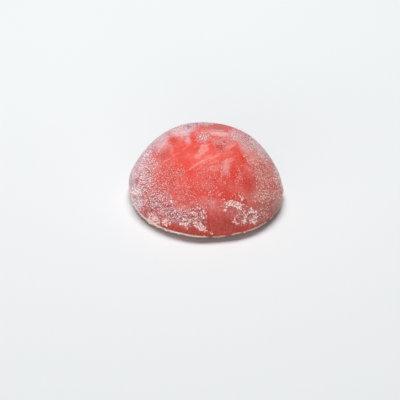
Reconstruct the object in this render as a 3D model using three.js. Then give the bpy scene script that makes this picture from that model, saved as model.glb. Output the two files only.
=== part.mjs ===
// A mochi rice cake: one solid dome of soft pounded rice dough, set down on its flat base.
// Millimetres, +Z up. The origin is the middle of the base, on the surface that it rests on.

import * as THREE from 'three';
import { mergeVertices } from 'three/addons/utils/BufferGeometryUtils.js';

// Driving dimensions
const WIDTH = 56;                 // across the widest line of the body
const RISE = 24.5;                // from the lip up to the crest
const WIDEST_ABOVE_LIP = 4.0;     // height of the widest line over the lip
const LIP_HEIGHT = 1.3;           // the lip hovers this far over the surface
const LIP_TUCK = 0.75;            // the body at the lip is this much inside the widest line
const LIP_PROUD = 0.35;           // the thin edge stands out this far
const LIP_THICKNESS = 0.5;        // height of the thin edge
const BASE_RADIUS = 23.5;         // flat patch that carries the cake
const CURL_INSET = 1.2;           // the underside's curl turns up this far inside the lip
const CURL_RISE = 0.15;           // and this far over the surface
const CREST_LEAN = -0.65;         // the crest sits this far along X from the base's middle
const CREST_CALM = 14;            // unevenness fades out inside this radius

// The dome above its widest line is a superellipse: broad shoulders, leaning sides
const SHOULDER_POWER = 2.88;
const SIDE_POWER = 1.26;

// The side rolls over into the dome this far above the widest line
const HANDOVER_RISE = 4.0;
const SIDE_FULLNESS = 0.25;       // the side's control point bulges this far past the widest line
const FOOT_INSET = 0.62;          // the side starts this far inside the widest line
const HANDOVER_PULL = 0.75;       // share of the rise over which the side follows the dome
const SLOPE_STEP = 0.01;          // step for the dome's slope at the handover

// How finely the solid is cut
const SEGMENTS = 72;
const DOME_RINGS = 24;
const SIDE_RINGS = 7;
const UNDERSIDE_RINGS = 4;
const BASE_RINGS = 3;
const DENSE_SAMPLES = 400;
const TOUCHING = 1e-6;            // nearer than this counts as on the base or the axis

// Hand-shaped unevenness: [lobes round the cake, depth as a share of the radius, turn in radians]
const PLAN_WAVES = [
  [2, 0.0035, 0.6],
  [3, 0.0030, 2.1],
  [5, 0.0018, 4.4],
];
const LIP_WAVES = [
  [4, 0.10, 0.9],
  [9, 0.08, 2.7],
  [17, 0.05, 5.1],
];

// Shallow dents and swells, each by its bearing, its height, its reach and its depth
const SWELLS = [
  { bearing: 40, height: 17, reach: 9, depth: 0.30 },
  { bearing: 60, height: 21, reach: 9, depth: 0.25 },
  { bearing: 120, height: 21, reach: 9, depth: 0.20 },
  { bearing: 150, height: 16, reach: 9, depth: 0.10 },
  { bearing: 178, height: 8, reach: 7, depth: 0.45 },
  { bearing: 196, height: 1.3, reach: 6, depth: -0.75 },
  { bearing: 262, height: 9, reach: 7, depth: 0.15 },
  { bearing: 305, height: 14, reach: 8, depth: -0.15 },
];

// A small tongue of dough pulled out at the edge
const TONGUE = { bearing: 5, halfWidth: 3.0, foot: 1.3, top: 4.6, reach: 0.7 };

const BODY_RADIUS = WIDTH / 2;
const LIP_RADIUS = BODY_RADIUS - LIP_TUCK;
const WIDEST_HEIGHT = LIP_HEIGHT + WIDEST_ABOVE_LIP;
const CREST_HEIGHT = LIP_HEIGHT + RISE;
const DOME_RISE = CREST_HEIGHT - WIDEST_HEIGHT;

function bell(distance, reach) {
  return Math.exp(-((distance / reach) ** 2));
}

function angleBetween(a, b) {
  return Math.atan2(Math.sin(a - b), Math.cos(a - b));
}

// The superellipse's radius at a height above the widest line
function domeRadius(rise) {
  const share = Math.min(rise / DOME_RISE, 1) ** SIDE_POWER;
  return BODY_RADIUS * (1 - share) ** (1 / SHOULDER_POWER);
}

// The dome from the handover to the crest, its points evenly spaced along the curve
function domeProfile() {
  const start = Math.asin((HANDOVER_RISE / DOME_RISE) ** (SIDE_POWER / 2));
  const dense = [];
  for (let i = 0; i <= DENSE_SAMPLES; i += 1) {
    const turn = start + (i / DENSE_SAMPLES) * (Math.PI / 2 - start);
    const rise = DOME_RISE * Math.sin(turn) ** (2 / SIDE_POWER);
    const radius = BODY_RADIUS * Math.max(Math.cos(turn), 0) ** (2 / SHOULDER_POWER);
    dense.push(new THREE.Vector2(i === DENSE_SAMPLES ? 0 : radius, WIDEST_HEIGHT + rise));
  }
  return evenlySpaced(dense, DOME_RINGS);
}

function evenlySpaced(points, pieces) {
  const lengths = [0];
  for (let i = 1; i < points.length; i += 1) {
    lengths.push(lengths[i - 1] + points[i].distanceTo(points[i - 1]));
  }
  const total = lengths[lengths.length - 1];
  const spaced = [];
  let at = 1;
  for (let i = 0; i < pieces; i += 1) {
    const target = (total * i) / pieces;
    while (lengths[at] < target) {
      at += 1;
    }
    const share = (target - lengths[at - 1]) / (lengths[at] - lengths[at - 1]);
    spaced.push(points[at - 1].clone().lerp(points[at], share));
  }
  spaced.push(points[points.length - 1].clone());
  return spaced;
}

// The flat patch, then the underside curling up to the edge
function undersideProfile() {
  const points = [];
  for (let i = 0; i <= BASE_RINGS; i += 1) {
    points.push(new THREE.Vector2((BASE_RADIUS * i) / BASE_RINGS, 0));
  }
  const curl = new THREE.QuadraticBezierCurve(
    new THREE.Vector2(BASE_RADIUS, 0),
    new THREE.Vector2(LIP_RADIUS - CURL_INSET, CURL_RISE),
    new THREE.Vector2(LIP_RADIUS, LIP_HEIGHT - LIP_THICKNESS / 2),
  );
  return points.concat(curl.getPoints(UNDERSIDE_RINGS).slice(1));
}

// The thin edge, then the side rolling smoothly over into the dome
function sideProfile() {
  const edge = new THREE.Vector2(LIP_RADIUS + LIP_PROUD, LIP_HEIGHT);
  const foot = new THREE.Vector2(BODY_RADIUS - FOOT_INSET, LIP_HEIGHT + LIP_THICKNESS / 2);
  const joinRadius = domeRadius(HANDOVER_RISE);
  const join = new THREE.Vector2(joinRadius, WIDEST_HEIGHT + HANDOVER_RISE);
  const slope = (domeRadius(HANDOVER_RISE + SLOPE_STEP) - joinRadius) / SLOPE_STEP;
  const reach = HANDOVER_RISE * HANDOVER_PULL;
  const side = new THREE.CubicBezierCurve(
    foot,
    new THREE.Vector2(BODY_RADIUS + SIDE_FULLNESS, foot.y + WIDEST_ABOVE_LIP / 2),
    new THREE.Vector2(joinRadius - slope * reach, join.y - reach),
    join,
  );
  return [edge, ...side.getPoints(SIDE_RINGS).slice(0, -1)];
}

// How far a point of the skin moves outward from the plain turned shape
function outwardShift(bearing, radius, height) {
  let shift = 0;
  for (const [lobes, depth, turn] of PLAN_WAVES) {
    shift += radius * depth * Math.sin(lobes * bearing + turn);
  }
  const nearLip = bell(height - LIP_HEIGHT, LIP_THICKNESS);
  for (const [lobes, depth, turn] of LIP_WAVES) {
    shift += nearLip * depth * Math.sin(lobes * bearing + turn);
  }
  for (const swell of SWELLS) {
    const across = angleBetween(bearing, THREE.MathUtils.degToRad(swell.bearing)) * BODY_RADIUS;
    shift += swell.depth * bell(Math.hypot(across, height - swell.height), swell.reach);
  }
  const aside = angleBetween(bearing, THREE.MathUtils.degToRad(TONGUE.bearing)) * BODY_RADIUS;
  const middle = (TONGUE.foot + TONGUE.top) / 2;
  const tall = (TONGUE.top - TONGUE.foot) / 2;
  shift += TONGUE.reach * bell(aside, TONGUE.halfWidth) * bell(height - middle, tall);
  return shift;
}

function shapeByHand(geometry) {
  const position = geometry.getAttribute('position');
  const point = new THREE.Vector3();
  for (let i = 0; i < position.count; i += 1) {
    point.fromBufferAttribute(position, i);
    const radius = Math.hypot(point.x, point.y);
    if (point.z > TOUCHING && radius > TOUCHING) {
      const bearing = Math.atan2(point.y, point.x);
      const fade = Math.min(1, radius / CREST_CALM);
      const grow = 1 + (fade * outwardShift(bearing, radius, point.z)) / radius;
      point.x *= grow;
      point.y *= grow;
    }
    point.x += CREST_LEAN * (point.z / CREST_HEIGHT);
    position.setXYZ(i, point.x, point.y, point.z);
  }
}

function centreOnBase(geometry) {
  geometry.computeBoundingBox();
  const { min, max } = geometry.boundingBox;
  geometry.translate(-(min.x + max.x) / 2, -(min.y + max.y) / 2, -min.z);
}

function mochiGeometry() {
  const profile = [...undersideProfile(), ...sideProfile(), ...domeProfile()];
  const turned = new THREE.LatheGeometry(profile, SEGMENTS);
  turned.rotateX(Math.PI / 2);
  turned.deleteAttribute('normal');
  turned.deleteAttribute('uv');
  const geometry = mergeVertices(turned);
  shapeByHand(geometry);
  centreOnBase(geometry);
  geometry.computeVertexNormals();
  return geometry;
}

const skin = new THREE.MeshStandardMaterial({ color: 0xc9605a, roughness: 0.45, metalness: 0 });

const mochi = new THREE.Mesh(mochiGeometry(), skin);
mochi.name = 'mochi';

const cake = new THREE.Group();
cake.add(mochi);

export default cake;
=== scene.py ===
"""A mochi rice cake: coral-red rice dough, dusted and frosted with starch, on a plain pale floor.

The cake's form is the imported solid's, made finer. Sizes are in millimetres until a mesh is
written, and then in metres. +Z is up, and the camera looks along +Y.
"""
import math
from collections import namedtuple
from itertools import combinations, product

import bpy
import numpy as np
from mathutils import Matrix, Vector
from mathutils.kdtree import KDTree


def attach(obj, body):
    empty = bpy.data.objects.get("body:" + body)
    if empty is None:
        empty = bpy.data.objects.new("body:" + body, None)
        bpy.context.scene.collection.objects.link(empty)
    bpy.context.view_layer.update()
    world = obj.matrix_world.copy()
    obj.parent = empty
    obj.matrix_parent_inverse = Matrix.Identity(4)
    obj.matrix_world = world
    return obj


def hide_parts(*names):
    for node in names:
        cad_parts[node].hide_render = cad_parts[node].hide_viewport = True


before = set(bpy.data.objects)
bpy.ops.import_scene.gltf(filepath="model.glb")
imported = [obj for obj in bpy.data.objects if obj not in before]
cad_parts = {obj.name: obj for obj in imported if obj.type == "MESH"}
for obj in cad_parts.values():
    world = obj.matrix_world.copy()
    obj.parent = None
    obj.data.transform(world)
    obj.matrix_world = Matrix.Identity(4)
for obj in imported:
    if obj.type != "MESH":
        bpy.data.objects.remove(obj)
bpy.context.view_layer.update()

MM = 0.001
SEED = 20417

# -------------------- driving sizes, as in the solid
WIDTH = 56.0
RISE = 24.5
WIDEST_ABOVE_LIP = 4.0
LIP_HEIGHT = 1.3
LIP_TUCK = 0.75
LIP_PROUD = 0.35
LIP_BULGE = 1.45  # how many times further out the control points of the lip's curve lie
LIP_THICKNESS = 0.5
BASE_RADIUS = 23.5
CURL_INSET = 1.2
CURL_RISE = 0.15
CREST_LEAN = -0.65
CREST_CALM = 14.0
SHOULDER_POWER = 2.88
SIDE_POWER = 1.26
HANDOVER_RISE = 4.0
SIDE_FULLNESS = 0.25
FOOT_INSET = 0.62
HANDOVER_PULL = 0.75
SLOPE_STEP = 0.01
# waves round the outline: how many, their depth as a share of the radius, and their turn
PLAN_WAVES = ((2, 0.0035, 0.6), (3, 0.0030, 2.1), (5, 0.0018, 4.4))
# the same along the lip, with the depth in millimetres
LIP_WAVES = ((4, 0.10, 0.9), (9, 0.08, 2.7), (17, 0.05, 5.1))
# swells and hollows of the side: bearing in degrees, height, reach, depth
SWELLS = ((40, 17, 9, 0.30), (60, 21, 9, 0.25), (120, 21, 9, 0.20), (150, 16, 9, 0.10),
          (178, 8, 7, 0.45), (196, 1.3, 6, -0.75), (262, 9, 7, 0.15), (305, 14, 8, -0.15))
TONGUE_BEARING = 5.0
TONGUE_HALF_WIDTH = 3.0
TONGUE_FOOT = 1.3
TONGUE_TOP = 4.6
TONGUE_REACH = 0.7

BODY_RADIUS = WIDTH / 2
LIP_RADIUS = BODY_RADIUS - LIP_TUCK
WIDEST_HEIGHT = LIP_HEIGHT + WIDEST_ABOVE_LIP
CREST_HEIGHT = LIP_HEIGHT + RISE
DOME_RISE = CREST_HEIGHT - WIDEST_HEIGHT
# The radius and height at which the underside meets the lip, and the lip meets the side
LIP_UNDER = (LIP_RADIUS, LIP_HEIGHT - LIP_THICKNESS / 2)
SIDE_FOOT = (BODY_RADIUS - FOOT_INSET, LIP_HEIGHT + LIP_THICKNESS / 2)

# How finely the skin is cut. A ring nearer the axis than HALVING_RADIUS has half the segments,
# one nearer than half of that a quarter, and so on.
SKIN_SEGMENTS = 608
HALVING_RADIUS = 16.0
FEWEST_SEGMENTS = 19
DOME_RINGS = 136
SIDE_RINGS = 33
LIP_RINGS = 5
CURL_RINGS = 10
BASE_RINGS = 6
DOME_SAMPLES = 4000  # points of the dome's curve before it is cut into equal rings

# -------------------- the camera
FRAME_PX = 400
FOCAL_PX = 1222.0
SENSOR_MM = 36.0
PX_PER_MM = 2.72
ELEVATION = 33.0
ROLL = 2.5
RIM_PX = (205.85, 194.23)  # where the middle of the lip's circle falls in the photo
DISTANCE = FOCAL_PX / PX_PER_MM
CLIP = (0.01, 10.0)  # metres


def bell(distance, reach):
    return np.exp(-((distance / reach) ** 2))


def smooth(low, high, value):
    """0 up to low, 1 from high on, and a soft step between."""
    share = np.clip((value - low) / (high - low), 0.0, 1.0)
    return share * share * (3 - 2 * share)


def angle_between(a, b):
    return np.arctan2(np.sin(a - b), np.cos(a - b))


# -------------------- noise
SCRAMBLE = (374761393, 668265263, 2147483647, 1274126177)
STIR = 1103515245
LOW_32_BITS = 0xFFFFFFFF
LOW_24_BITS = 0xFFFFFF


def lattice(ix, iy, iz, seed):
    """A repeatable number from 0 to 1 for each whole-number corner."""
    mixed = sum(value * factor for value, factor in zip((ix, iy, iz, seed), SCRAMBLE)) & LOW_32_BITS
    mixed = ((mixed ^ (mixed >> 13)) * STIR) & LOW_32_BITS
    return ((mixed ^ (mixed >> 16)) & LOW_24_BITS) / float(LOW_24_BITS)


def noise(points, size, seed):
    """Smooth noise from -1 to 1, with features about that many millimetres wide."""
    scaled = points / size
    corner = np.floor(scaled).astype(np.int64)
    part = scaled - corner
    part = part * part * (3 - 2 * part)
    sides = (1 - part, part)
    total = np.zeros(len(points))
    for dx, dy, dz in product((0, 1), repeat=3):
        weight = sides[dx][:, 0] * sides[dy][:, 1] * sides[dz][:, 2]
        total += weight * lattice(corner[:, 0] + dx, corner[:, 1] + dy, corner[:, 2] + dz, seed)
    return total * 2 - 1


def rough_noise(points, size, seed, octaves=3):
    """Noise with ever finer noise on it, each half as wide and half as strong."""
    total = np.zeros(len(points))
    weight = 1.0
    whole = 0.0
    for octave in range(octaves):
        total += weight * noise(points, size / 2 ** octave, seed + 17 * octave)
        whole += weight
        weight *= 0.5
    return total / whole


def mixed_noise(points, parts):
    """The sum of noises given by strength, size and seed."""
    return sum(strength * noise(points, size, SEED + step) for strength, size, step in parts)


# -------------------- the form
def dome_radius(rise):
    """The dome's radius at a rise over its widest ring."""
    share = min(rise / DOME_RISE, 1) ** SIDE_POWER
    return BODY_RADIUS * (1 - share) ** (1 / SHOULDER_POWER)


def evenly_spaced(points, pieces):
    """The same curve as points that lie equally far apart along it."""
    steps = np.hypot(*np.diff(points, axis=0).T)
    along = np.concatenate([[0], np.cumsum(steps)])
    wanted = np.linspace(0, along[-1], pieces + 1)
    return np.column_stack([np.interp(wanted, along, points[:, k]) for k in (0, 1)])


def dome_profile():
    start = math.asin((HANDOVER_RISE / DOME_RISE) ** (SIDE_POWER / 2))
    turn = np.linspace(start, math.pi / 2, DOME_SAMPLES)
    rise = DOME_RISE * np.sin(turn) ** (2 / SIDE_POWER)
    radius = BODY_RADIUS * np.maximum(np.cos(turn), 0) ** (2 / SHOULDER_POWER)
    radius[-1] = 0
    return evenly_spaced(np.column_stack([radius, WIDEST_HEIGHT + rise]), DOME_RINGS)


def bezier(controls, pieces):
    t = np.linspace(0, 1, pieces + 1)[:, None]
    points = [np.array(c, float)[None, :] * np.ones_like(t) for c in controls]
    while len(points) > 1:
        points = [a * (1 - t) + b * t for a, b in zip(points, points[1:])]
    return points[0]


def underside_profile():
    base = np.column_stack([np.linspace(0, BASE_RADIUS, BASE_RINGS + 1), np.zeros(BASE_RINGS + 1)])
    curl = bezier([(BASE_RADIUS, 0), (LIP_RADIUS - CURL_INSET, CURL_RISE), LIP_UNDER], CURL_RINGS)
    return np.vstack([base, curl[1:]])


def lip_profile():
    """The thin edge as a rounded bead between the underside and the side."""
    proud = LIP_RADIUS + LIP_PROUD * LIP_BULGE
    return bezier([LIP_UNDER, (proud, LIP_UNDER[1]), (proud, LIP_HEIGHT + LIP_THICKNESS / 3),
                   SIDE_FOOT], LIP_RINGS + 1)[1:-1]


def side_profile():
    """The full side, from the lip up to the dome."""
    join_radius = dome_radius(HANDOVER_RISE)
    join = (join_radius, WIDEST_HEIGHT + HANDOVER_RISE)
    slope = (dome_radius(HANDOVER_RISE + SLOPE_STEP) - join_radius) / SLOPE_STEP
    reach = HANDOVER_RISE * HANDOVER_PULL
    return bezier([SIDE_FOOT, (BODY_RADIUS + SIDE_FULLNESS, SIDE_FOOT[1] + WIDEST_ABOVE_LIP / 2),
                   (join_radius - slope * reach, join[1] - reach), join], SIDE_RINGS)[:-1]


def outward_shift(bearing, radius, height):
    """How far waves, swells and the tongue push the turned profile out."""
    shift = np.zeros_like(radius)
    for lobes, depth, turn in PLAN_WAVES:
        shift += radius * depth * np.sin(lobes * bearing + turn)
    near_lip = bell(height - LIP_HEIGHT, LIP_THICKNESS)
    for lobes, depth, turn in LIP_WAVES:
        shift += near_lip * depth * np.sin(lobes * bearing + turn)
    for degrees, level, reach, depth in SWELLS:
        across = angle_between(bearing, math.radians(degrees)) * BODY_RADIUS
        shift += depth * bell(np.hypot(across, height - level), reach)
    aside = angle_between(bearing, math.radians(TONGUE_BEARING)) * BODY_RADIUS
    middle = (TONGUE_FOOT + TONGUE_TOP) / 2
    tall = (TONGUE_TOP - TONGUE_FOOT) / 2
    shift += TONGUE_REACH * bell(aside, TONGUE_HALF_WIDTH) * bell(height - middle, tall)
    return shift


def shaped(bearing, radius, height):
    """Points of the skin for a bearing, and a radius and height of the turned profile."""
    # The crest is calm, and the flat base stays round.
    fade = np.minimum(1, radius / CREST_CALM) * (height > 0)
    radius = radius + fade * outward_shift(bearing, radius, height)
    return np.column_stack([radius * np.cos(bearing) + CREST_LEAN * height / CREST_HEIGHT,
                            radius * np.sin(bearing), height])


def segments_at(radius):
    count = SKIN_SEGMENTS
    while radius < HALVING_RADIUS and count > FEWEST_SEGMENTS:
        count //= 2
        radius *= 2
    return count


def band(low, low_count, high, high_count):
    """Faces between two rings, given by their first points and their counts of points."""
    faces = []
    for i in range(min(low_count, high_count)):
        j = i + 1
        if low_count == high_count:
            j %= low_count
            faces.append((low + i, low + j, high + j, high + i))
        elif low_count > high_count:
            a, b, c = (low + (2 * i + k) % low_count for k in range(3))
            d, e = high + i, high + j % high_count
            faces += [(a, b, d), (b, e, d), (b, c, e)]
        else:
            a, b = low + i, low + j % low_count
            c, d, e = (high + (2 * i + k) % high_count for k in range(3))
            faces += [(a, d, c), (a, b, d), (b, e, d)]
    return faces


def skin_grid():
    """(points, quads and triangles) of the whole skin, lowest ring first, poles as single points."""
    profile = np.vstack([underside_profile(), lip_profile(), side_profile(), dome_profile()])
    rings = profile[1:-1]
    counts = [segments_at(radius) for radius in rings[:, 0]]
    firsts = np.concatenate([[0], np.cumsum(counts)]).tolist()
    bearing = np.concatenate([np.arange(c) * (2 * math.pi / c) for c in counts])
    zero = np.zeros(1)
    points = np.vstack([shaped(bearing, np.repeat(rings[:, 0], counts), np.repeat(rings[:, 1], counts)),
                        shaped(zero, zero, zero), shaped(zero, zero, zero + profile[-1, 1])])
    bottom = len(points) - 2
    crest = len(points) - 1
    faces = [(bottom, (i + 1) % counts[0], i) for i in range(counts[0])]
    for ring in range(len(rings) - 1):
        faces += band(firsts[ring], counts[ring], firsts[ring + 1], counts[ring + 1])
    last = firsts[-2]
    faces += [(crest, last + i, last + (i + 1) % counts[-1]) for i in range(counts[-1])]
    return points, faces


def centring(points):
    """The shift that puts the cake over the origin, on the floor."""
    low, high = points.min(0), points.max(0)
    return np.array([-(low[0] + high[0]) / 2, -(low[1] + high[1]) / 2, -low[2]])


# -------------------- the camera's frame
def camera_axes():
    """The camera's right and up, and the way back from what it looks at."""
    elevation = math.radians(ELEVATION)
    roll = math.radians(ROLL)
    back = np.array([0, -math.cos(elevation), math.sin(elevation)])
    right = np.array([1.0, 0, 0])
    up = np.cross(back, right)
    return (right * math.cos(roll) + up * math.sin(roll),
            up * math.cos(roll) - right * math.sin(roll), back)


def camera_place(rim_middle):
    """Where the camera stands so that the middle of the lip's circle falls on its pixel."""
    right, up, back = camera_axes()
    aside = (RIM_PX[0] - FRAME_PX / 2) / PX_PER_MM
    above = (FRAME_PX / 2 - RIM_PX[1]) / PX_PER_MM
    return rim_middle - right * aside - up * above + back * DISTANCE


def photo_place(points, eye):
    """Where points of the cake fall in the photo's 400 x 400 frame."""
    right, up, back = camera_axes()
    away = points - eye
    depth = -(away @ back)
    return np.column_stack([FRAME_PX / 2 + FOCAL_PX * (away @ right) / depth,
                            FRAME_PX / 2 - FOCAL_PX * (away @ up) / depth])


def make_camera(eye):
    data = bpy.data.cameras.new("camera")
    data.sensor_width = SENSOR_MM
    data.lens = FOCAL_PX / FRAME_PX * SENSOR_MM
    data.clip_start, data.clip_end = CLIP
    camera = bpy.data.objects.new("camera", data)
    bpy.context.collection.objects.link(camera)
    right, up, back = camera_axes()
    rows = [(right[k], up[k], back[k], eye[k] * MM) for k in range(3)]
    camera.matrix_world = Matrix((*rows, (0, 0, 0, 1)))
    bpy.context.scene.camera = camera


# -------------------- where the starch lies, and where shade and light are painted
# Patches on the side that the camera sees: what each is, its middle (x, y) and half sizes in the
# photo's pixels, its turn in degrees (clockwise in the photo), and its strength.
FILM = (  # dry greyish starch
    ("left edge", 129, 180, 8, 26, 3, 1.6), ("left edge, upper", 138, 153.5, 11, 20, 34, 1.7),
    ("upper left edge", 154, 133, 24, 12, -38, 1.15), ("inside that edge", 161, 144, 14, 8, -42, 0.62),
    ("upper edge", 181, 125, 20, 9, -14, 1.15), ("crest, outline", 202, 122, 14, 4, -2, 1.0),
    ("wedge", 184, 132, 7, 6, 10, 0.72), ("wedge, foot", 188, 140, 3.2, 5, -12, 0.55),
    ("left flank", 143, 175, 13, 25, 10, 0.66), ("whitish patch", 137.5, 191, 7, 7, 0, 1.2),
    ("grey patch", 139, 203, 6, 7, -20, 0.95), ("rubbed patch", 155, 203.5, 5, 4.5, 0, 0.85),
    ("left front", 156, 200, 18, 14, 12, 0.5), ("front foot", 174, 214, 28, 9, 12, 0.54),
    # The band under the crest and the stripe over it are starch with painted reflection of the light on
    # the top
    ("netting", 197, 216, 10, 9, 0, 0.42), ("band under the crest", 220, 134, 14, 2.6, 4, 0.76),
    ("stripe over the band", 217, 130.4, 11, 0.9, 2, 0.5),
    ("under the band", 222, 141, 13, 4, 6, 0.22), ("top dots", 204, 137, 8, 5, 0, 0.46),
    ("lilac patch", 237, 136, 10, 6.5, 26, 0.76), ("upper right", 249, 144, 12, 8, 42, 0.8),
    ("over the wedge foot", 226, 167, 4, 7.5, 14, 0.42),
    ("upper right edge", 262, 147, 11, 23, -40, 1.1), ("right edge", 280, 176, 8, 21, -14, 1.0),
    ("right, inside the edge", 256, 160, 8, 12, -20, 0.5),
    ("right flank", 266, 174, 14, 22, -8, 0.52), ("right flank, middle", 264, 195, 16, 14, 0, 0.58),
    ("right edge, lower", 278, 199, 8, 15, 14, 0.8), ("right foot", 262, 212, 16, 10, -38, 0.46),
    ("crest", 218, 127, 18, 4, 3, 0.18), ("ground of the right clump", 246, 215, 12, 11, 0, 0.44),
    ("lower left", 145, 212, 5, 7, -35, 0.34), ("front", 207, 207, 18, 8, 8, 0.16),
)
VEIL = (  # milky starch, rubbed in while moist
    ("lower centre", 206, 204, 19, 9, 8, 0.58), ("centre", 212, 182, 20, 16, 0, 0.34),
    ("front left", 186, 200, 14, 10, 0, 0.45), ("left of the centre", 178, 184, 10, 14, 0, 0.68),
    ("top", 222, 156, 18, 8, -12, 0.22), ("beside the red streak", 248, 168, 6, 14, 0, 0.45),
    ("left, inner", 165, 170, 14, 16, 0, 0.62), ("left of the crest", 198, 131, 11, 6, 0, 0.5),
    ("under the band", 222, 142, 14, 5, 6, 0.55), ("right of the ridge", 245, 149, 10, 6, 40, 0.75),
    ("right of the red streak", 252, 162, 6, 9, -20, 0.70),
    ("front", 222, 212, 16, 8, 0, 0.52), ("right of the centre", 236, 186, 10, 14, 0, 0.32),
    ("upper left patch", 166, 152, 9, 10, 20, 0.30), ("inside the wedge", 176, 142, 10, 9, 10, 0.34),
)
WIPED_AND_GLINTS = (  # the same where it is wiped on in one stroke, with clear edges, and lighter there with painted reflection of the light on the top
    ("hook", 204.2, 148, 4.8, 4.0, -8, 0.85), ("hook, bend", 201.2, 152, 3.6, 3.0, 20, 0.75),
    ("hook, tail", 198, 156.2, 3.8, 3.0, 20, 0.6), ("over the hook", 206.5, 144.4, 4.4, 1.0, -4, 0.65),
    ("ridge", 229, 147, 6.5, 2.2, -28, 0.8), ("ridge, foot", 234.5, 144.2, 3.4, 1.4, -20, 0.6),
    ("wedge", 229, 160, 6.5, 2.6, -10, 0.65), ("wedge, foot", 226, 168, 3.4, 6.5, 14, 0.6),
    ("patch", 213.5, 168.5, 5.6, 3.2, 0, 0.65), ("patch, tail", 219, 165.6, 3.6, 1.4, -20, 0.5),
    ("upright smear", 172, 151, 2.0, 6, 0, 0.40), ("band", 222, 135.5, 13, 2.0, 6, 0.5),
    ("stroke", 213.6, 157.4, 7, 0.9, -20, 0.55), ("stroke under it", 216, 161.8, 6, 0.8, -20, 0.45),
)
BARE = (  # dough with little or nothing on it
    ("intense spot", 173, 141, 4.2, 3.4, 0, 0.95), ("upper left patch", 165, 153, 5, 7, 20, 0.6),
    ("brightest red", 189, 154, 9, 9, 15, 1.0), ("left of the crest", 193, 137, 2.8, 4.4, 12, 0.7),
    ("lens", 197, 148.5, 3.2, 1.8, 0, 0.9), ("between the smears", 213, 150.5, 5, 4, 0, 0.9),
    ("orange spot", 236, 151, 4.2, 3.6, 0, 1.0), ("red streak", 242, 159, 3, 4.5, -25, 1.0),
    ("red streak, foot", 234, 172, 2.4, 7, 8, 0.85), ("upright patch", 250, 186, 5, 8, 0, 0.85),
    ("under the crest", 219.5, 147.8, 5, 3.2, 0, 0.8),
    ("maroon patch", 137.5, 181, 2.2, 3.4, 0, 0.75), ("lower left patch", 146, 212, 2.6, 6, -35, 0.65),
    ("notch over the lip", 156.5, 222.2, 3.2, 1.6, 25, 1.0),
    ("strip over the lip", 188, 231.6, 21, 2.8, 10, 0.95),
    ("front foot", 220, 224, 12, 10, 0, 1.0), ("orange foot", 244, 228.5, 7, 3, -20, 1.0),
)
SPECKLE = (  # single specks with gaps between them
    ("left, upper", 150, 162, 8, 12, 32, 1.2), ("left flank", 147.5, 180, 10, 20, 6, 1.3),
    ("left, inner", 170, 173, 14, 8, -12, 0.95), ("left, middle", 161, 188, 14, 18, 8, 1.15),
    ("left, lower", 158, 207, 20, 11, 12, 1.3), ("middle", 186, 195, 15, 14, 0, 0.6),
    ("front foot", 173, 214, 24, 8, 13, 1.4), ("netting", 198, 216, 11, 10, 0, 1.9),
    ("top dots", 203, 137, 7, 5, 0, 1.15), ("outline at the crest", 195, 125, 16, 3, -6, 1.3),
    ("under the band", 223, 140.5, 11, 3, 4, 0.78), ("dark dots", 220, 148, 6, 4, 0, 0.9),
    ("left of the crest", 193, 137, 4, 5, 12, 0.55), ("pale dots", 245, 155.8, 3, 1.3, -5, 1.0),
    ("lilac patch", 238, 136, 9, 6, 26, 0.8), ("upper right", 250, 145, 10, 7, 42, 1.0),
    ("upper left, outline", 172, 127.5, 12, 2.4, -26, 0.70),
    ("right flank, upper", 258, 166, 11, 13, -12, 0.8),
    ("right flank", 262, 182, 10, 12, 0, 0.6), ("right flank, lower", 265, 197, 13, 9, 0, 0.52),
    ("right edge", 279, 184, 6, 26, -4, 0.5),
    ("upright patch", 250, 188, 5, 8, 0, 0.35), ("right foot", 262, 213, 10, 6, -35, 0.45),
    ("clump's ground", 246, 216, 9, 8, 0, 0.95), ("beside the clump", 234.5, 221, 4.5, 3, 10, 1.0),
    ("centre", 212, 184, 26, 22, 0, 0.34), ("centre dots", 211, 187, 5, 4, 0, 0.62),
    ("round the upper clump", 236, 199, 12, 6, 0, 0.5),
    ("trail of the tail", 211.5, 231.5, 3, 2, 40, 0.8), ("right of the centre", 238, 174, 8, 12, 0, 0.45),
    ("crumbs at the right", 259, 226, 5, 2.4, -38, 0.55),
)
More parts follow.
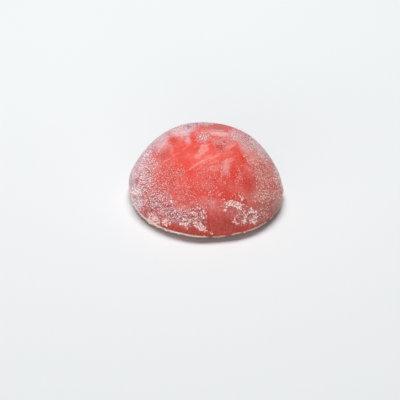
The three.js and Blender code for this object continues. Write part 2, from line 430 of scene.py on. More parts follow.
HEAPS = (  # starch lying thick
    ("lip crust", 151, 221, 5.4, 1.8, 34, 0.95), ("left", 153.5, 216.5, 6.4, 3.6, 25, 0.85),
    ("left, second", 165.5, 222.4, 7.6, 3.2, 18, 0.9), ("middle", 183, 221.5, 5.0, 5.4, 0, 0.72),
    ("tail", 202, 227.4, 7.8, 3.2, 33, 1.10), ("netting", 199, 214.5, 9, 8.5, 0, 0.44),
    ("netting, foot", 193, 221, 7, 3, 20, 0.42), ("tail, end", 210.5, 232.6, 3, 1.2, 40, 0.75),
    ("right, spike", 223.8, 200, 1.0, 3.2, -12, 0.95), ("right, knob", 225, 204, 2.2, 2.5, 0, 1.2),
    ("right, bar", 231, 203.8, 5.0, 2.5, 6, 1.5), ("right, bar end", 236.5, 204.6, 3.6, 2.3, 10, 1.35),
    ("right, hook", 239, 206.6, 2.6, 2.4, 20, 1.25),
    ("right, tip", 243, 204.4, 2.2, 1.3, -5, 1.1), ("upper dot", 239.8, 196.6, 1.1, 1.0, 0, 1.1),
    ("lower dot", 242.2, 198.4, 1.2, 1.1, 0, 1.1), ("smear", 225.4, 209.8, 2.3, 0.9, -30, 0.75),
    ("arc", 252, 210.8, 4.0, 1.8, 38, 1.0), ("arc, right", 255.4, 216.6, 1.6, 5.4, 0, 1.05),
    ("arc, left", 245.6, 216.4, 4.4, 2.0, -48, 1.15), ("inside the arc", 249.5, 215.5, 4.4, 5.0, 12, 0.6),
    ("foot, left", 242.8, 220.4, 3.4, 3.8, 14, 1.0),
    ("foot, right", 251.8, 221, 3.4, 3.2, 10, 0.9), ("speckled foot", 235, 220.8, 4.4, 3, 10, 0.54),
    ("single, left", 171, 201.5, 1.2, 1.2, 0, 1.0), ("top dots", 203.5, 136.5, 6, 4, 0, 0.48),
    ("whitish patch", 136.5, 191, 5.5, 7, 0, 0.52), ("pale dots", 245, 155.8, 2.8, 0.9, -5, 0.9),
    ("upper left, bright dot", 147.6, 155.3, 1.4, 1.2, 0, 0.8),
)
DEEP = (  # where the dough is a darker red
    ("upper left patch", 165, 153, 6, 8, 20, 0.40), ("crest strip", 218, 126.6, 15, 3.2, 3, 0.66),
    ("upright patch", 250, 186, 6, 9, 0, 0.30), ("maroon patch", 137.5, 181, 3, 4, 0, 0.8),
    ("lower left patch", 146, 212, 4, 7, -35, 0.75), ("notch over the lip", 156.5, 222, 3.6, 2, 25, 1.0),
    ("front foot", 219, 224, 13, 9, 0, 0.30), ("right foot", 262, 216, 13, 9, -38, 0.5),
    ("under the crest", 220, 147.6, 6, 4, 0, 0.28), ("orange foot", 244, 229, 9, 3.4, -20, 0.35),
    ("lens", 197, 149, 3.4, 2.2, 0, 0.34), ("intense spot", 173, 141, 5, 4, 0, 0.34),
)
PITS = (  # small hollows, with painted shade in them
    ("crest edge", 235.5, 130, 4.5, 1.8, 18, 1.1), ("upper right", 246, 137.5, 9, 5, 42, 1.2),
    ("upper right, foot", 254, 149, 2.6, 2.6, 0, 1.1), ("upper left edge", 171.5, 133, 4, 1.8, -32, 1.1),
    ("outline at the crest", 192, 126, 15, 2.6, -10, 1.1), ("under the band", 222, 141, 10, 3, 4, 0.8),
    ("dark dots", 220, 148, 6, 4.5, 0, 0.6), ("right", 262, 172, 10, 18, 0, 0.5),
    ("left", 147, 172, 9, 22, 14, 0.6), ("left, lower", 160, 208, 18, 9, 12, 0.6),
    ("netting", 198, 216, 9, 8, 0, 0.8), ("right clump", 248, 217, 8, 7, 0, 0.9),
    ("top dots", 203, 137, 6, 4, 0, 0.3), ("left, middle", 168, 184, 10, 10, 0, 0.4),
)
SHADE_AND_DULL_PATCHES = (  # painted shade, darkest along the outline, and starch gone dull
    ("left, upper", 139, 147, 5, 17, 38, 0.85), ("inside it", 145, 152, 9, 16, 38, 0.34),
    ("upper left", 154, 133, 24, 8, -36, 0.6), ("upper edge", 176, 124, 12, 4, -16, 0.16),
    ("crest", 226, 123.5, 11, 2.6, 4, 0.55), ("upper right", 253, 132.5, 17, 5, 40, 1.0),
    ("right, upper", 271, 153, 6, 19, -32, 0.45), ("left of the centre", 172, 168, 14, 20, 20, 0.16),
    ("right", 283, 182, 4.5, 20, -6, 0.65), ("right, lower", 279, 209, 8, 8, 40, 0.45),
    ("over the whitish patch", 134, 182.5, 4, 4, 0, 0.55), ("left", 130, 170, 3, 9, 8, 0.30),
    ("left flank", 149, 183, 9, 15, 0, 0.26),
)
BOUNCE_LIGHT = (  # painted warm bounce light on the foot, which makes it a less deep red there
    ("orange foot", 246, 229, 8, 3.4, -24, 0.6), ("foot, middle", 226, 233.5, 10, 2.2, -6, 0.35),
)
SMEARS = (  # fine pale strokes side by side: rubbed starch, with painted glints of the light across the top
    ("across the top", 217, 157, 24, 10, -18, 0.52), ("down the middle", 205, 168, 20, 10, -22, 0.45),
    ("upper left", 166, 158, 12, 6, -25, 0.45),
)
CREASES = (  # thin folds, lighter along their length with starch caught in them and painted glint: how strong, and the places that they run through
    (0.55, ((163, 162), (169, 159), (174.5, 155.6))),
    (0.90, ((189, 170), (195, 165.5), (201.4, 161.5))),
    (0.45, ((201.4, 161.5), (210.6, 157.7), (218, 156))),
    (0.45, ((183, 150), (188, 145.4))),
    (0.50, ((205, 152.2), (208.8, 149.4), (208, 146))),
    (0.35, ((194, 147), (199, 145.8), (203, 145.6))),
)
CREASE_WIDTH_PX = 0.45
NET_BORDER_X = 206.5  # the netting in front ends here, along an upright line
NET_BORDER_TOP = 207.0
NET_BORDER_BEND = 224.0  # that slants away below here
NET_BORDER_SLANT = 0.75
NET_BARE_TO_PX = (14.0, 18.0)  # and the dough beside it is bare this far to the right
SMEAR_TURN = -22.0  # the smears run up to the right, by these degrees in the photo
SMEAR_LENGTH_PX = 8.0
SMEAR_WIDTH_PX = 1.3

# Where a patch's strength starts and ceases to fade, with 1 at its listed half size
SOFT_EDGE = (0.20, 1.60)
# Noise that makes the edges uneven: how strong, how wide in millimetres, and its own seed
RAGGED = ((0.20, 3.4, 1), (0.26, 1.5, 2), (0.22, 0.7, 3))
# The patches of each finish and of the painted shade and light, how ragged their edges are, where they
# fade, and how much of them is missing on bare dough and beyond the netting's border
Laid = namedtuple("Laid", "listed ragged edge off_bare off_border", defaults=(1.0, SOFT_EDGE, 0.0, 0.0))
SEEN = {
    "film": Laid(FILM, ragged=0.7, off_bare=0.95, off_border=1.0),
    "veil": Laid(VEIL, off_bare=1.0),
    "wiped_and_glint": Laid(WIPED_AND_GLINTS, ragged=0.5, edge=(0.70, 1.08)),
    "speckle": Laid(SPECKLE, off_bare=0.85, off_border=0.90),
    "heap": Laid(HEAPS, ragged=1.3, edge=(0.45, 1.40), off_border=0.95),
    "deep": Laid(DEEP, ragged=1.5),
    "pits": Laid(PITS),
    "shade_and_dull": Laid(SHADE_AND_DULL_PATCHES),
    "glow": Laid(BOUNCE_LIGHT),
}
# The side that the camera doesn't see follows noise: the amount of each finish, how much coarse
# and medium noise add to it, the most of it, and how much is missing where it is rubbed
Strewn = namedtuple("Strewn", "start coarse medium most off_rubbed")
UNSEEN = {
    "film": Strewn(0.74, 0.7, 0.0, 1.0, 0.8),
    "veil": Strewn(0.40, 0.0, 1.0, 0.8, 0.0),
    "speckle": Strewn(0.26, 0.0, 0.9, 0.7, 0.6),
    "deep": Strewn(0.0, 0.9, 0.0, 0.6, 0.0),
    "pits": Strewn(0.30, 0.0, 0.0, 1.0, 0.0),
    "shade_and_dull": Strewn(0.15, 0.5, 0.0, 0.5, 0.0),
    "glow": Strewn(0.0, 0.0, 0.8, 0.4, 0.0),
}
SEEN_FACING = (-0.22, -0.04)  # over which the seen side passes into the unseen one
MOST_FILM = 1.15
DEEP_UP_TO = 17.0  # the dough darkens from this height down to the foot
WARM_LIGHT_FROM_X = (4.0, 22.0)  # painted warm bounce light makes the starch warmer at the right, in front
WARM_LIGHT_FROM_Y = (-8.0, 8.0)
CRUST_BEARING = 206.0  # the crust on the lip is thickest here, in degrees
CRUST_SPREAD = (30.0, 78.0)  # and thins out over these degrees to the sides
CRUST_LEAST = 0.6
CRUST_RISE = 0.08  # its middle lies this far over the lip's

# Sizes of the skin's own relief, in millimetres
HEAP_HEIGHT = 0.20
CRYSTAL_HEIGHT = 0.06
CRYSTAL_SIZE = 0.50
FILM_HEIGHT = 0.03
CREASE_HEIGHT = 0.05
LUMP_HEIGHT = 0.07
LUMP_SIZE = 6.5
GRAIN_HEIGHT = 0.014
GRAIN_SIZE = 0.9
WRINKLE_HEIGHT = 0.045
WRINKLE_SIZE = 0.7
WRINKLE_STRETCH = 5  # wrinkles run up the side, this many times as long as wide
PIT_DEPTH = 0.12
LIP_HEIGHTENING = 0.10
KNOBS = ((0.6, 0.7, 21), (0.5, 0.4, 22))  # strength, size and seed, as in RAGGED

# The grains of starch: radii and how close they lie in millimetres, how many of their places
# are taken at full amount, and the most of them
Kind = namedtuple("Kind", "name radii spacing share most")
LUMPS = Kind("starch_lumps", (0.20, 0.33), 0.43, 0.95, 2300)
SPECKS = Kind("starch_specks", (0.16, 0.28), 0.52, 0.95, 9500)
DUST = Kind("starch_dust", (0.06, 0.13), 0.32, 0.80, 22000)
FEW_LARGE = 1.5  # the higher, the fewer grains are nearly as large as they may be
JITTER = 0.10
SEAT_RISE = 0.2  # a grain's middle lies this many radii over the skin
STRETCH = (0.75, 1.3)
ROUGHNESS = 0.16
STEEP_GRAIN = 0.90  # how thick a grain is on a steep side, as a share of its width
CREST_FLATTENING = 0.45  # and how much less on the crest
CREST_UPRIGHT = (0.4, 0.95)
LEAST_CLEARANCE = 0.02  # between any grain and the floor


def patches(place, listed, ragged, edge=SOFT_EDGE):
    """The strongest of the listed patches at each place, with edges made uneven by ragged."""
    value = np.zeros(len(place))
    for _, x, y, wide, high, degrees, strength in listed:
        turn = math.radians(degrees)
        across = place[:, 0] - x
        down = place[:, 1] - y
        along = (across * math.cos(turn) + down * math.sin(turn)) / wide
        aside = (down * math.cos(turn) - across * math.sin(turn)) / high
        reach = np.hypot(along, aside) + ragged
        value = np.maximum(value, strength * (1 - smooth(*edge, reach)))
    return value


def near_lines(place, lines, width):
    """The strength of the strongest line at each place, fading over the width."""
    value = np.zeros(len(place))
    for strength, line in lines:
        for start, end in zip(line, line[1:]):
            start = np.array(start, float)
            step = np.array(end, float) - start
            share = np.clip(((place - start) @ step) / (step @ step), 0, 1)
            away = np.hypot(*(place - start - share[:, None] * step).T)
            value = np.maximum(value, strength * bell(away, width))
    return value


def streaks(place, seed):
    """Noise drawn out along the smears."""
    turn = math.radians(SMEAR_TURN)
    along = place[:, 0] * math.cos(turn) + place[:, 1] * math.sin(turn)
    aside = place[:, 1] * math.cos(turn) - place[:, 0] * math.sin(turn)
    flat = np.column_stack([along / SMEAR_LENGTH_PX, aside / SMEAR_WIDTH_PX, np.zeros(len(place))])
    return rough_noise(flat, 1.0, seed, 2)


def vertex_normals(points, faces):
    """The way out of the skin at each point."""
    mesh = bpy.data.meshes.new("scratch")
    mesh.from_pydata(points.tolist(), [], faces)
    normals = np.empty(len(points) * 3)
    mesh.vertex_normals.foreach_get("vector", normals)
    bpy.data.meshes.remove(mesh)
    return normals.reshape(-1, 3)


def netting_border(points, place):
    """1 just beyond the netting's border, where the dough is bare, and 0 elsewhere."""
    below_bend = np.maximum(0, place[:, 1] - NET_BORDER_BEND)
    beyond = place[:, 0] - NET_BORDER_X - NET_BORDER_SLANT * below_bend
    border = smooth(0.0, 1.2, beyond + 0.7 * noise(points, 0.7, SEED + 4))
    border = border * smooth(0.0, 5.0, place[:, 1] - NET_BORDER_TOP)
    return border * (1 - smooth(*NET_BARE_TO_PX, place[:, 0] - NET_BORDER_X))


def seen_amounts(points, place):
    """How much of each finish lies where the camera looks, from the patches."""
    ragged = mixed_noise(points, RAGGED)
    bare = patches(place, BARE, ragged)
    border = netting_border(points, place)
    amounts = {}
    for name, laid in SEEN.items():
        amount = patches(place, laid.listed, laid.ragged * ragged, laid.edge)
        amounts[name] = amount * (1 - laid.off_bare * bare) * (1 - laid.off_border * border)
    smears = 1.4 * patches(place, SMEARS, ragged) * smooth(0.0, 0.35, streaks(place, SEED + 20))
    amounts["veil"] = np.maximum(amounts["veil"], smears * (1 - 0.7 * bare))
    amounts["crease"] = near_lines(place, CREASES, CREASE_WIDTH_PX)
    return amounts


def unseen_amounts(points):
    """The same for the side that the camera doesn't see."""
    coarse = rough_noise(points, 7.0, SEED + 31)
    medium = rough_noise(points, 2.6, SEED + 32)
    rubbed = smooth(0.05, 0.40, rough_noise(points, 9.0, SEED + 34, 2))
    amounts = dict.fromkeys(("wiped_and_glint", "crease"), np.zeros(len(points)))
    for name, strewn in UNSEEN.items():
        amount = strewn.start + strewn.coarse * coarse + strewn.medium * medium
        amounts[name] = np.clip(amount, 0, strewn.most) * (1 - strewn.off_rubbed * rubbed)
    low_side = 1 - smooth(5, 19, points[:, 2])
    clumps = rough_noise(points, 5.0, SEED + 35) + 0.20 * low_side
    amounts["heap"] = smooth(0.34, 0.62, clumps) * 0.62
    return amounts


def lip_amount(points, middle):
    """The crust on the edge, thickest along the front left and thinner all round."""
    across = points[:, 0] - middle[0]
    behind = points[:, 1] - middle[1]
    aside = np.abs(angle_between(np.arctan2(behind, across), math.radians(CRUST_BEARING)))
    crust = CRUST_LEAST + 0.6 * (1 - smooth(*np.radians(CRUST_SPREAD), aside))
    on_edge = 1.5 * bell(points[:, 2] - LIP_HEIGHT - CRUST_RISE, 0.10 + 0.15 * crust)
    on_edge = on_edge * smooth(LIP_RADIUS - 1.6, LIP_RADIUS - 0.4, np.hypot(across, behind))
    mended = 0.9 * (crust - CRUST_LEAST)
    broken = smooth(-0.50, 0.10, rough_noise(points, 2.2, SEED + 8) + mended)
    return np.clip(on_edge * crust * broken, 0, 1)


def seen_share(points, normals, eye):
    """1 where the skin faces the camera's place, and 0 where it faces away."""
    toward = eye - points
    toward = toward / np.linalg.norm(toward, axis=1)[:, None]
    return smooth(*SEEN_FACING, (normals * toward).sum(1))


def finish_masks(points, normals, eye, middle):
    """How much of each finish, and of the painted shade and light, the mesh carries at each point."""
    seen = seen_share(points, normals, eye)
    near = seen_amounts(points, photo_place(points, eye))
    far = unseen_amounts(points)
    cover = {name: seen * near[name] + (1 - seen) * far[name] for name in near}

    powder = rough_noise(points, 0.85, SEED + 13, 2)
    thin = 0.62 - 1.15 * cover["heap"]
    low_down = 1 - smooth(0.5, DEEP_UP_TO, points[:, 2])
    cover["film"] = np.minimum(cover["film"], MOST_FILM)
    cover["speckle"] = np.clip(cover["speckle"], 0, 1)
    cover["heap"] = smooth(thin - 0.30, thin + 0.35, powder) * (cover["heap"] > 0.05)
    # glow takes darkening off the foot: painted warm bounce light in front, and tone that varies at
    # random on the unseen side
    cover["deep"] = (1 - (1 - low_down) * (1 - cover["deep"])) * (1 - cover.pop("glow"))
    cover["pits"] = cover["pits"] * smooth(0.12, 0.45, noise(points, 0.62, SEED + 15))
    cover["lip"] = lip_amount(points, middle)

    under = (1 - smooth(LIP_HEIGHT - 0.7, LIP_HEIGHT - 0.25, points[:, 2])) * (normals[:, 2] < 0.2)
    for name in ("film", "veil", "speckle", "heap", "pits"):
        cover[name] = cover[name] * (1 - under)
    cover["under"] = under

    # cool is low at the right front, where warm bounce light is painted in, and varies at random
    # elsewhere
    warm_light_side = smooth(*WARM_LIGHT_FROM_X, points[:, 0]) * (1 - smooth(*WARM_LIGHT_FROM_Y, points[:, 1]))
    cool = 0.85 - warm_light_side + 0.4 * rough_noise(points, 6.0, SEED + 16)
    cover["cool"] = np.clip(cool, 0, 1) * (1 - 0.8 * np.maximum(cover["heap"], cover["lip"]))
    pale = 1.45 * cover["film"] * (1 - 0.4 * warm_light_side)
    cover["pale"] = np.clip(pale + 0.85 * cover["heap"] + cover["lip"], 0, 1)
    return cover


def relief(points, cover):
    """How far the skin stands out over the plain form."""
    knobs = mixed_noise(points, KNOBS)
    crystals = smooth(-0.1, 0.7, noise(points, CRYSTAL_SIZE, SEED + 11))
    around = np.arctan2(points[:, 1], points[:, 0]) * BODY_RADIUS
    unrolled = np.column_stack([around, points[:, 2] / WRINKLE_STRETCH, np.zeros(len(points))])
    wrinkles = noise(unrolled, WRINKLE_SIZE, SEED + 25)
    low_side = 1 - smooth(4, 12, points[:, 2])
    total = HEAP_HEIGHT * cover["heap"] * (0.55 + 0.95 * knobs)
    total += CRYSTAL_HEIGHT * cover["speckle"] * crystals
    total += FILM_HEIGHT * cover["film"]
    total += CREASE_HEIGHT * cover["crease"]
    total += LUMP_HEIGHT * rough_noise(points, LUMP_SIZE, SEED + 23)
    total += GRAIN_HEIGHT * rough_noise(points, GRAIN_SIZE, SEED + 24, 2)
    total += WRINKLE_HEIGHT * low_side * wrinkles
    total -= PIT_DEPTH * cover["pits"]
    total += LIP_HEIGHTENING * cover["lip"] * (0.6 + 0.6 * knobs)
    return total * (1 - cover["under"])


# -------------------- material
# Width of the dots' cells in millimetres, how uncertain it is which of them have a dot, and
# where a dot's rim lies between the cell's edge and its middle
DOT_SIZE = 0.70
DOT_DOUBT = 0.03
DOT_RIM = (0.50, 0.22)


class Nodes:
    """Short calls for building a node tree."""

    def __init__(self, material):
        material.use_nodes = True
        self.tree = material.node_tree
        self.shader = self.tree.nodes["Principled BSDF"]

    def add(self, kind, **values):
        node = self.tree.nodes.new(kind)
        for name, value in values.items():
            setattr(node, name, value)
        return node

    def put(self, socket, value):
        if hasattr(value, "is_output"):
            self.tree.links.new(value, socket)
        else:
            socket.default_value = value

    def math(self, operation, a, b=0.0, clamp=False):
        node = self.add("ShaderNodeMath", operation=operation, use_clamp=clamp)
        self.put(node.inputs[0], a)
        self.put(node.inputs[1], b)
        return node.outputs[0]

    def times(self, a, b):
        return self.math("MULTIPLY", a, b)

    def mask(self, name):
        """An amount that the mesh carries."""
        return self.add("ShaderNodeAttribute", attribute_name=name).outputs["Fac"]

    def steps(self, value, low, high, to_low=0.0, to_high=1.0):
        """A soft step from to_low up to to_high."""
        node = self.add("ShaderNodeMapRange", interpolation_type="SMOOTHSTEP")
        self.put(node.inputs["Value"], value)
        for socket, number in zip(("From Min", "From Max", "To Min", "To Max"),
                                  (low, high, to_low, to_high)):
            self.put(node.inputs[socket], number)
        return node.outputs["Result"]

    def blend(self, share, a, b, kind="MIX"):
        node = self.add("ShaderNodeMix", data_type="RGBA", blend_type=kind)
        self.put(node.inputs["Factor"], share)
        self.put(node.inputs["A"], a)
        self.put(node.inputs["B"], b)
        return node.outputs["Result"]

    def grain(self, where, size, detail=2.0):
        node = self.add("ShaderNodeTexNoise")
        self.put(node.inputs["Vector"], where)
        self.put(node.inputs["Scale"], 1 / (size * MM))
        self.put(node.inputs["Detail"], detail)
        return node.outputs["Fac"]

    def dots(self, where, size, cover):
        """Round specks a little apart, on as many of their places as cover says, and their tone."""
        node = self.add("ShaderNodeTexVoronoi")
        self.put(node.inputs["Vector"], where)
        self.put(node.inputs["Scale"], 1 / (size * MM))
        lot = self.add("ShaderNodeSeparateColor")
        self.put(lot.inputs["Color"], node.outputs["Color"])
        taken = self.steps(self.math("SUBTRACT", cover, lot.outputs["Red"]), -DOT_DOUBT, DOT_DOUBT)
        round_ones = self.steps(node.outputs["Distance"], *DOT_RIM)
        return self.times(taken, round_ones), lot.outputs["Green"]

    def shaded(self, colour, shade):
        """The colour times the shade."""
        tone = self.add("ShaderNodeCombineColor")
        for channel in ("Red", "Green", "Blue"):
            self.put(tone.inputs[channel], shade)
        return self.blend(1.0, colour, tone.outputs["Color"], "MULTIPLY")

    def ragged(self, mask, grains_and_strengths, low, high):
        """A soft mask broken up by grain of several sizes, then sharpened."""
        for grain, strength in grains_and_strengths:
            shift = self.times(self.math("SUBTRACT", grain, 0.5), strength)
            mask = self.math("ADD", mask, shift)
        return self.steps(mask, low, high)


# linear colours
DOUGH_BRIGHT = (0.84, 0.066, 0.043, 1)
DOUGH_MILKY = (0.83, 0.112, 0.086, 1)
DOUGH_DEEP = (0.46, 0.072, 0.054, 1)
VEIL_PINK = (0.88, 0.34, 0.31, 1)
FILM_COOL = (0.78, 0.60, 0.66, 1)
FILM_WARM = (0.87, 0.50, 0.43, 1)
WIPED_AND_GLINT_PINK = (0.90, 0.32, 0.28, 1)
CREASE_STARCH_AND_GLINT = (1.0, 0.40, 0.36, 1)
SPECK_PINK = (1.0, 0.36, 0.32, 1)
SPECK_PALE = (1.0, 0.85, 0.88, 1)
SPECK_WARM = (1.0, 0.78, 0.74, 1)
SPECK_DULL = (0.90, 0.24, 0.22, 1)
HEAP_GROUND_AND_SHADE = (0.60, 0.25, 0.23, 1)
STARCH = (1.0, 0.82, 0.79, 1)
LIP_CREAM_AND_HIGHLIGHT = (1.0, 0.90, 0.74, 1)
PIT_SHADE = (0.28, 0.05, 0.055, 1)
UNDERSIDE_SHADE = (0.34, 0.10, 0.09, 1)
# What is left of the ground's colour between the grains, where the dough shows through with painted shade
# between them; and painted shade, darkest along the outline, with starch gone dull
GAP_DOUGH_AND_SHADE_TINT = (0.63, 0.32, 0.33, 1)
SHADE_AND_DULL_TINT = (0.58, 0.56, 0.57, 1)

# Grain in the colours: its width in millimetres and its detail
CLOUDS = (5.0, 3.0)
MOTTLES = (1.6, 3.0)
SMALL_GRAIN = (0.50, 1.0)
FINE_GRAIN = (0.40, 2.0)
FOLD_SHADE_GRAIN = (0.60, 1.0)
STARCH_GRAIN = (0.25, 2.0)
BARE_ROUGHNESS = 0.48
DUSTED_ROUGHNESS = 0.85
DOUGH_SPECULAR = 0.16
BUMP_STRENGTH = 0.8
BUMP_DEPTH = 0.06
SUBSURFACE = {"Weight": 0.10, "Radius": (1.0, 0.25, 0.18), "Scale": 1.0 * MM}
STARCH_ROUGHNESS = 0.8
STARCH_SPECULAR = 0.25


def dough_ground(n, where, mottled, fine, film):
    """The dough's own colour and what is rubbed into it, with painted glints where it is wiped, painted
    warm bounce light at the right front, and painted shade of fine folds.
    """
    colour = n.blend(n.steps(n.grain(where, *CLOUDS), 0.36, 0.66), DOUGH_BRIGHT, DOUGH_MILKY)
    colour = n.blend(n.mask("deep"), colour, DOUGH_DEEP)
    veil = n.times(n.mask("veil"), n.steps(mottled, 0.32, 0.64, 0.35, 0.85))
    colour = n.blend(veil, colour, VEIL_PINK)
    # warmer film where cool is low: partly painted warm bounce light
    colour = n.blend(film, colour, n.blend(n.mask("cool"), FILM_WARM, FILM_COOL))
    # rubbed starch with clear edges, lighter with painted reflection of the light
    wiped_and_glint = n.times(n.mask("wiped_and_glint"), n.steps(mottled, 0.30, 0.66, 0.80, 1.0))
    colour = n.blend(wiped_and_glint, colour, WIPED_AND_GLINT_PINK)
    colour = n.shaded(colour, n.steps(fine, 0.34, 0.66, 0.76, 1.10))
    # painted shade and light of fine upright folds on the deep red
    upright = n.add("ShaderNodeMapping")
    upright.inputs["Scale"].default_value = (1, 1, 1 / WRINKLE_STRETCH)
    n.put(upright.inputs["Vector"], where)
    folds = n.steps(n.grain(upright.outputs["Vector"], *FOLD_SHADE_GRAIN), 0.36, 0.64, -0.18, 0.12)
    return n.shaded(colour, n.math("ADD", 1.0, n.times(folds, n.mask("deep"))))


def dough_material():
    """Moist dough, with the starch that lies on it too thinly to be grains of its own, and painted shade,
    glints and warm light.
    """
    material = bpy.data.materials.new("dough")
    n = Nodes(material)
    where = n.add("ShaderNodeTexCoord").outputs["Object"]
    mottled = n.grain(where, *MOTTLES)
    small = n.grain(where, *SMALL_GRAIN)
    fine = n.grain(where, *FINE_GRAIN)
    speckle = n.mask("speckle")
    heap = n.mask("heap")
    film = n.math("MULTIPLY", n.mask("film"), n.steps(mottled, 0.30, 0.66, 0.80, 1.20), clamp=True)
    dots, dot_tone = n.dots(where, DOT_SIZE, speckle)
    heaped = n.ragged(heap, ((fine, 2.8), (small, 2.8)), 0.95, 1.20)
    heaped = n.times(heaped, n.steps(heap, 0.02, 0.2))

    colour = dough_ground(n, where, mottled, fine, film)
    # painted shade, darkest along the outline, with starch gone dull
    colour = n.blend(n.mask("shade_and_dull"), colour, SHADE_AND_DULL_TINT, "MULTIPLY")
    # between the specks the dough shows through the starch, with painted shade between the grains
    gap_dough_and_shade = n.times(speckle, n.steps(small, 0.30, 0.60, 1.0, 0.65))
    gap_dough_and_shade = n.times(gap_dough_and_shade, n.math("MAXIMUM", film, n.steps(n.mask("deep"), 0.0, 0.5, 0.72, 1.0)))
    colour = n.blend(gap_dough_and_shade, colour, GAP_DOUGH_AND_SHADE_TINT, "MULTIPLY")
    dotted = n.times(dots, n.steps(dot_tone, 0.0, 1.0, 0.10, 0.50))
    colour = n.blend(dotted, colour, n.blend(film, SPECK_PINK, SPECK_PALE))
    # painted shade in the pits
    colour = n.blend(n.times(n.mask("pits"), 0.85), colour, PIT_SHADE)
    # light lines along the folds: starch in them, and painted glint
    colour = n.blend(n.times(n.mask("crease"), 0.75), colour, CREASE_STARCH_AND_GLINT)
    # darker ground under the heaps, partly painted shade between the lumps
    colour = n.blend(n.times(heap, n.steps(film, 0.4, 1.0, 0.70, 0.10)), colour, HEAP_GROUND_AND_SHADE)
    colour = n.blend(n.times(heaped, 0.35), colour, STARCH)
    # the crust on the lip: cream starch, made brighter by painted highlight and warmer by painted bounce
    # light
    colour = n.blend(n.mask("lip"), colour, LIP_CREAM_AND_HIGHLIGHT)
    # painted shade on the underside of the lip
    colour = n.blend(n.times(n.mask("under"), 0.8), colour, UNDERSIDE_SHADE)
    n.put(n.shader.inputs["Base Color"], colour)

    dusty = n.math("MAXIMUM", film, n.math("MAXIMUM", heaped, dots))
    rough = n.steps(dusty, 0.0, 1.0, BARE_ROUGHNESS, DUSTED_ROUGHNESS)
    n.put(n.shader.inputs["Roughness"], rough)
    bump = n.add("ShaderNodeBump")
    bump.inputs["Strength"].default_value = BUMP_STRENGTH
    bump.inputs["Distance"].default_value = BUMP_DEPTH * MM
    n.put(bump.inputs["Height"], n.math("ADD", n.times(dots, 0.8), n.times(fine, 0.7)))
    n.put(n.shader.inputs["Normal"], bump.outputs["Normal"])
    n.shader.inputs["Specular IOR Level"].default_value = DOUGH_SPECULAR
    for kind, value in SUBSURFACE.items():
        n.shader.inputs["Subsurface " + kind].default_value = value
    return material


def starch_material():
    """Grains, pink where they lie thin on moist dough and pale where they lie thick."""
    material = bpy.data.materials.new("starch_powder")
    n = Nodes(material)
    where = n.add("ShaderNodeTexCoord").outputs["Object"]
    pale = n.mask("pale")
    # warmer grains where cool is low: partly painted warm bounce light
    colour = n.blend(pale, SPECK_PINK, n.blend(n.mask("cool"), SPECK_WARM, SPECK_PALE))
    dull = n.times(n.steps(n.mask("tone"), 0.0, 0.6, 0.55, 0.0), n.steps(pale, 0.0, 1.0, 1.0, 0.4))
    colour = n.blend(dull, colour, SPECK_DULL)
    cloud = n.steps(n.grain(where, *STARCH_GRAIN), 0.3, 0.7, 0.96, 1.04)
    n.put(n.shader.inputs["Base Color"], n.shaded(colour, cloud))
    n.shader.inputs["Roughness"].default_value = STARCH_ROUGHNESS
    n.shader.inputs["Specular IOR Level"].default_value = STARCH_SPECULAR
    return material


# -------------------- pieces
def new_piece(name, points, faces, material, amounts):
    """A mesh that rides on the cake and carries the amounts at its points."""
    mesh = bpy.data.meshes.new(name)
    mesh.from_pydata((points * MM).tolist(), [], faces)
    mesh.polygons.foreach_set("use_smooth", [True] * len(mesh.polygons))
    mesh.materials.append(material)
    for kind, values in amounts.items():
        layer = mesh.attributes.new(kind, "FLOAT", "POINT")
        layer.data.foreach_set("value", values.astype(np.float32))
    piece = bpy.data.objects.new(name, mesh)
    bpy.context.collection.objects.link(piece)
    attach(piece, "root")
    return piece


def many_sided_grain():
    """The 12 corners and 20 faces of a large grain."""
    golden = (1 + math.sqrt(5)) / 2
    corners = []
    for a in (-1, 1):
        for b in (-golden, golden):
            corners += [(0, a, b), (a, b, 0), (b, 0, a)]
    corners = np.array(corners) / math.hypot(1, golden)
    faces = []
    edge = 2 / math.hypot(1, golden) * 1.01  # a little over the length of its edges
    for i, j, k in combinations(range(len(corners)), 3):
        p, q, r = corners[[i, j, k]]
        if max(np.linalg.norm(p - q), np.linalg.norm(q - r), np.linalg.norm(p - r)) < edge:
            outward = np.cross(q - p, r - p) @ (p + q + r) > 0
            faces.append((i, j, k) if outward else (i, k, j))
    return corners, np.array(faces)


def eight_sided_grain():
    """The 6 corners and 8 faces of a fine grain."""
    corners = np.array([(1, 0, 0), (0, 1, 0), (-1, 0, 0), (0, -1, 0), (0, 0, 1), (0, 0, -1)], float)
    faces = [(i, (i + 1) % 4, 4) for i in range(4)] + [((i + 1) % 4, i, 5) for i in range(4)]
    return corners, np.array(faces)


def divided(shape):
    """The same grain with each face cut in four, its new corners on the sphere."""
    corners, faces = shape
    corners = corners.tolist()
    halves = {}
    cut = []
    for face in faces.tolist():
        middles = []
        for a, b in zip(face, face[1:] + face[:1]):
            pair = (min(a, b), max(a, b))
            if pair not in halves:
                half = np.add(corners[a], corners[b])
                halves[pair] = len(corners)
                corners.append((half / np.linalg.norm(half)).tolist())
            middles.append(halves[pair])
        p, q, r = middles
        cut += [(face[0], p, r), (p, face[1], q), (r, q, face[2]), (p, q, r)]
    return np.array(corners), np.array(cut)


def well_spaced(points, spacing, rng):
    """Points picked at random, none nearer to another than the spacing."""
    tree = KDTree(len(points))
    for i, point in enumerate(points):
        tree.insert(point, i)
    tree.balance()
    free = np.ones(len(points), bool)
    picked = []
    for i in rng.permutation(len(points)):
        if free[i]:
            picked.append(i)
            for _, near, _ in tree.find_range(points[i], spacing):
                free[near] = False
    return np.array(picked)


def drawn(picked, amount, most, rng):
    """Of the picked places, as many as their amounts say, and no more than most."""
    kept = picked[rng.uniform(0, 1, len(picked)) < amount[picked]]
    return rng.permutation(kept)[:most]


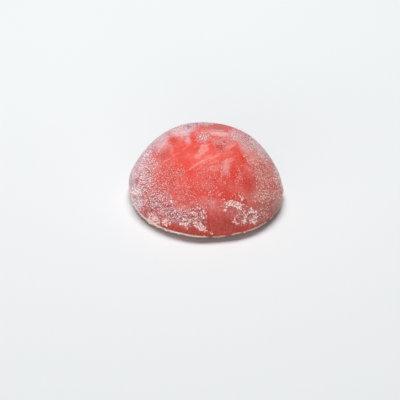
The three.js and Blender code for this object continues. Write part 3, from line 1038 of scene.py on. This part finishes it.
def grains(shape, seats, normals, radius, rng):
    """Flattened lumps of the given radii on their seats, no two alike, and each point's own lump."""
    corners, faces = shape
    count = len(seats)
    jitter = rng.normal(0, JITTER, (count, 3))
    jitter -= (jitter * normals).sum(1)[:, None] * normals
    middle = seats + jitter + normals * (radius * SEAT_RISE)[:, None]
    side = np.cross(normals, rng.normal(0, 1, (count, 3)))
    side /= np.linalg.norm(side, axis=1)[:, None]
    other = np.cross(normals, side)
    stretch = rng.uniform(*STRETCH, (count, 3))
    stretch[:, 2] *= STEEP_GRAIN - CREST_FLATTENING * smooth(*CREST_UPRIGHT, normals[:, 2])
    rough = corners[None] * (1 + rng.uniform(-ROUGHNESS, ROUGHNESS, (count, len(corners), 1)))
    local = rough * (stretch * radius[:, None])[:, None, :]
    placed = (local[:, :, 0:1] * side[:, None] + local[:, :, 1:2] * other[:, None]
              + local[:, :, 2:3] * normals[:, None] + middle[:, None])
    placed = placed.reshape(-1, 3)
    placed[:, 2] = np.maximum(placed[:, 2], LEAST_CLEARANCE)
    every = (faces[None] + len(corners) * np.arange(count)[:, None, None]).reshape(-1, 3)
    return placed, every.tolist(), np.repeat(np.arange(count), len(corners))


def make_cake():
    """The camera, the skin and the starch, which all need the skin's points."""
    points, faces = skin_grid()
    shift = centring(points)
    points = points + shift
    middle = np.array([shift[0], shift[1], LIP_HEIGHT])
    eye = camera_place(middle)
    make_camera(eye)
    normals = vertex_normals(points, faces)
    cover = finish_masks(points, normals, eye, middle)
    points = points + normals * relief(points, cover)[:, None]
    skin = new_piece("mochi_skin", points, faces, dough_material(), cover)
    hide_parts("mochi")
    make_starch(points, normals, cover)


def scatter(kind, shape, amount, skin, material, rng):
    """One piece of grains, on points of the skin drawn by the amount at each."""
    points, normals, cover = skin
    chosen = drawn(well_spaced(points, kind.spacing, rng), kind.share * amount, kind.most, rng)
    low, high = kind.radii
    radius = low + (high - low) * rng.uniform(0, 1, len(chosen)) ** FEW_LARGE
    placed, faces, owner = grains(shape, points[chosen], normals[chosen], radius, rng)
    amounts = {mask: cover[mask][chosen][owner] for mask in ("pale", "cool")}
    amounts["tone"] = rng.uniform(0, 1, len(chosen))[owner]
    new_piece(kind.name, placed, faces, material, amounts)


def make_starch(points, normals, cover):
    """Lumps in the heaps, specks where it is speckled, and dust on all of it."""
    rng = np.random.default_rng(SEED)
    powder = starch_material()
    skin = (points, normals, cover)
    clear = 1 - cover["under"]

    heaped = np.clip(cover["heap"] ** 1.2 + 0.35 * cover["lip"], 0, 1)
    speckled = smooth(0.05, 0.70, cover["speckle"]) * (1 - 0.7 * cover["heap"])
    speckled = np.maximum(speckled, 0.3 * cover["lip"])
    dusted = np.clip(0.25 * cover["speckle"] + 0.15 * cover["film"] + cover["lip"]
                     + cover["heap"] + 0.01, 0, 1)
    scatter(LUMPS, divided(many_sided_grain()), heaped * clear, skin, powder, rng)
    scatter(SPECKS, many_sided_grain(), speckled * clear, skin, powder, rng)
    scatter(DUST, eight_sided_grain(), dusted * clear, skin, powder, rng)


# -------------------- floor and light
# In metres and watts. The overhead light's shadow falls in front, and the strip lights the front.
FLOOR_HALF = 3.0
FLOOR_DROP = 0.00002  # keeps the floor from lying in the base's own plane
FLOOR_COLOUR = (0.81, 0.83, 0.84, 1)
FLOOR_ROUGHNESS = 0.8
LIGHTS = (  # name, place, width, height and power
    ("overhead", (-0.06, 0.28, 0.95), 0.55, 0.24, 9.8),
    ("front strip", (-0.32, -1.10, 0.20), 1.60, 0.28, 8.9),
)
ROOM_COLOUR = (0.95, 0.97, 1.0, 1)
ROOM_STRENGTH = 0.08


def make_floor():
    mesh = bpy.data.meshes.new("floor")
    corners = [(x * FLOOR_HALF, y * FLOOR_HALF, 0) for x, y in ((-1, -1), (1, -1), (1, 1), (-1, 1))]
    mesh.from_pydata(corners, [], [(0, 1, 2, 3)])
    floor = bpy.data.objects.new("floor", mesh)
    floor.location.z = -FLOOR_DROP
    bpy.context.collection.objects.link(floor)
    pale = bpy.data.materials.new("floor")
    pale.use_nodes = True
    inputs = pale.node_tree.nodes["Principled BSDF"].inputs
    inputs["Base Color"].default_value = FLOOR_COLOUR
    inputs["Roughness"].default_value = FLOOR_ROUGHNESS
    mesh.materials.append(pale)


def soft_light(name, place, width, height, power):
    """A soft box that faces the cake."""
    data = bpy.data.lights.new(name, "AREA")
    data.shape = "RECTANGLE"
    data.size = width
    data.size_y = height
    data.energy = power
    lamp = bpy.data.objects.new(name, data)
    lamp.location = place
    lamp.rotation_euler = (-Vector(place)).to_track_quat("-Z", "Y").to_euler()
    bpy.context.collection.objects.link(lamp)


def make_light():
    for light in LIGHTS:
        soft_light(*light)
    world = bpy.data.worlds.new("studio")
    world.use_nodes = True
    background = world.node_tree.nodes["Background"]
    background.inputs["Color"].default_value = ROOM_COLOUR
    background.inputs["Strength"].default_value = ROOM_STRENGTH
    bpy.context.scene.world = world
    bpy.context.scene.view_settings.view_transform = "Standard"


make_cake()
make_floor()
make_light()
